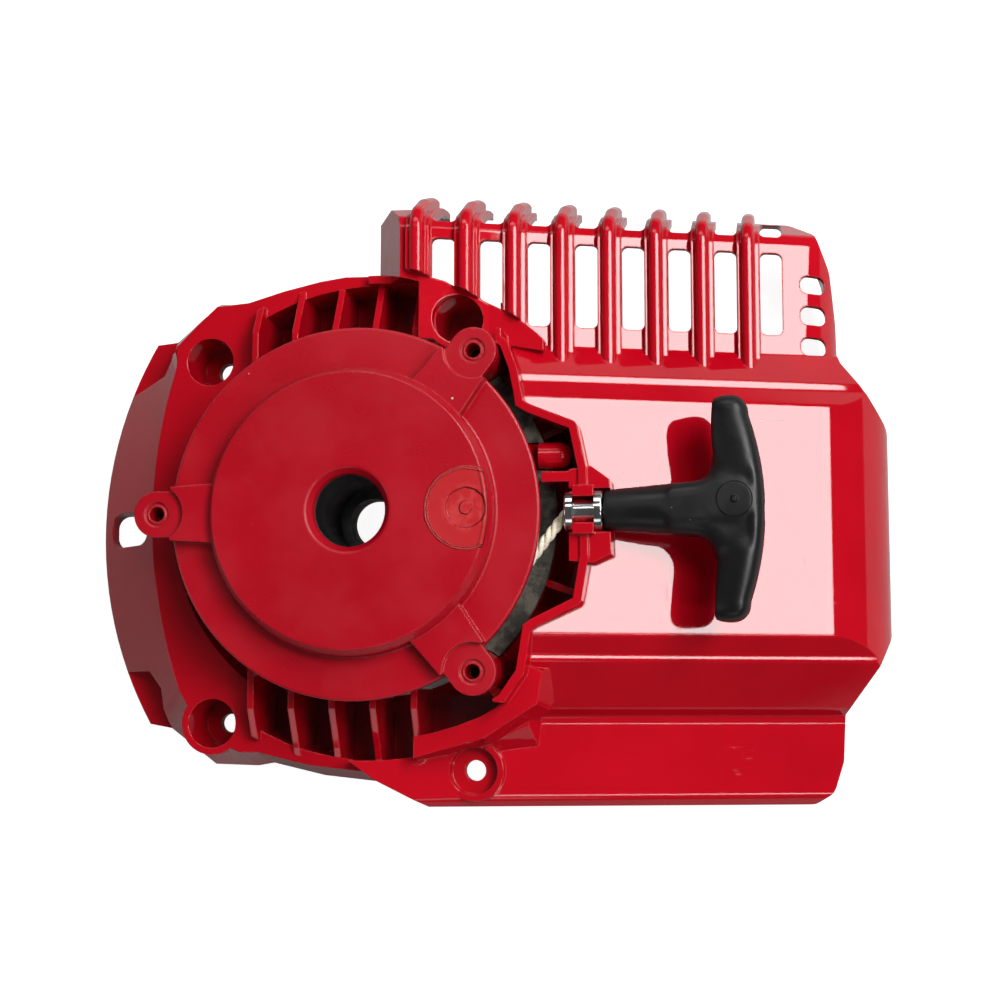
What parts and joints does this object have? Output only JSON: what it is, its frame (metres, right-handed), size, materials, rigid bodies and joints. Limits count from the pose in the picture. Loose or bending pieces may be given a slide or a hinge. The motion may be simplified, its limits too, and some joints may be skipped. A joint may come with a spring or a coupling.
{
  "type": "recoil starter",
  "caption": "Recoil starter of a small engine: rope reel with return spring and pawls in a fan housing with cylinder cover, air grille and pull handle.",
  "frame": {"origin": "on the starter axis, in the plane of the housing's rear rim", "axes": "+Z along the starter axis, out of the reel cover; +X the way the handle is pulled"},
  "size_m": [0.2796, 0.2122, 0.1018],
  "materials": {
    "housing_red": "glossy moulded nylon",
    "cover_red": "semi-matte moulded nylon",
    "handle_black": "satin moulded plastic",
    "plug_black": "satin moulded plastic",
    "reel_black": "moulded nylon",
    "rope_cream": "twisted polyester rope",
    "seal_grey": "dusty foam rubber",
    "chrome_eye": "polished",
    "dark_steel": "drawn tube, oiled",
    "bright_steel": "zinc plated",
    "spring_steel": "blued strip",
    "pawl_steel": "sintered steel"
  },
  "bodies": {
    "housing": {"fan_housing": "housing_red", "reel_cover": "cover_red", "cover_screws": "bright_steel", "rope_guide": "chrome_eye", "seal_ring": "seal_grey", "axle_sleeve": "dark_steel", "recoil_spring": "spring_steel", "thrust_washer": "bright_steel", "retaining_clip": "spring_steel", "rope_run": "rope_cream"},
    "reel": {"rope_reel": "reel_black", "rope_coil": "rope_cream", "reel_knot": "rope_cream", "pawl_pins": "bright_steel", "pawl_springs": "spring_steel"},
    "guide": {"pawl_guide": "bright_steel", "friction_spring": "spring_steel"},
    "pawl_a": {"pawl_1": "pawl_steel"},
    "pawl_b": {"pawl_2": "pawl_steel"},
    "handle": {"handle_grip": "handle_black", "handle_plug": "plug_black", "handle_knot": "rope_cream", "knot_washer": "bright_steel", "handle_rope": "rope_cream"}
  },
  "joints": [
    {"name": "handle_pull", "type": "slide", "parent": "housing", "child": "handle", "axis": [1, 0, 0], "range_m": [0, 0.8]},
    {"name": "reel_spin", "type": "hinge", "parent": "housing", "child": "reel", "pos_m": [0, 0, 0.044], "axis": [0, 0, 1], "range_deg": [0, 825.4]},
    {"name": "guide_turn", "type": "hinge", "parent": "reel", "child": "guide", "pos_m": [0, 0, 0.0333], "axis": [0, 0, -1], "range_deg": [0, 25]},
    {"name": "pawl_1_swing", "type": "hinge", "parent": "reel", "child": "pawl_a", "pos_m": [0, 0.031, 0.0371], "axis": [0, 0, -1], "range_deg": [0, 30.2]},
    {"name": "pawl_2_swing", "type": "hinge", "parent": "reel", "child": "pawl_b", "pos_m": [0, -0.031, 0.0371], "axis": [0, 0, -1], "range_deg": [0, 30.2]}
  ],
  "couplings": [
    {"joint": "reel_spin", "follows": "handle_pull", "rad_per_m": 17.986},
    {"joint": "pawl_1_swing", "follows": "guide_turn", "ratio": 1.2},
    {"joint": "pawl_2_swing", "follows": "guide_turn", "ratio": 1.2}
  ]
}
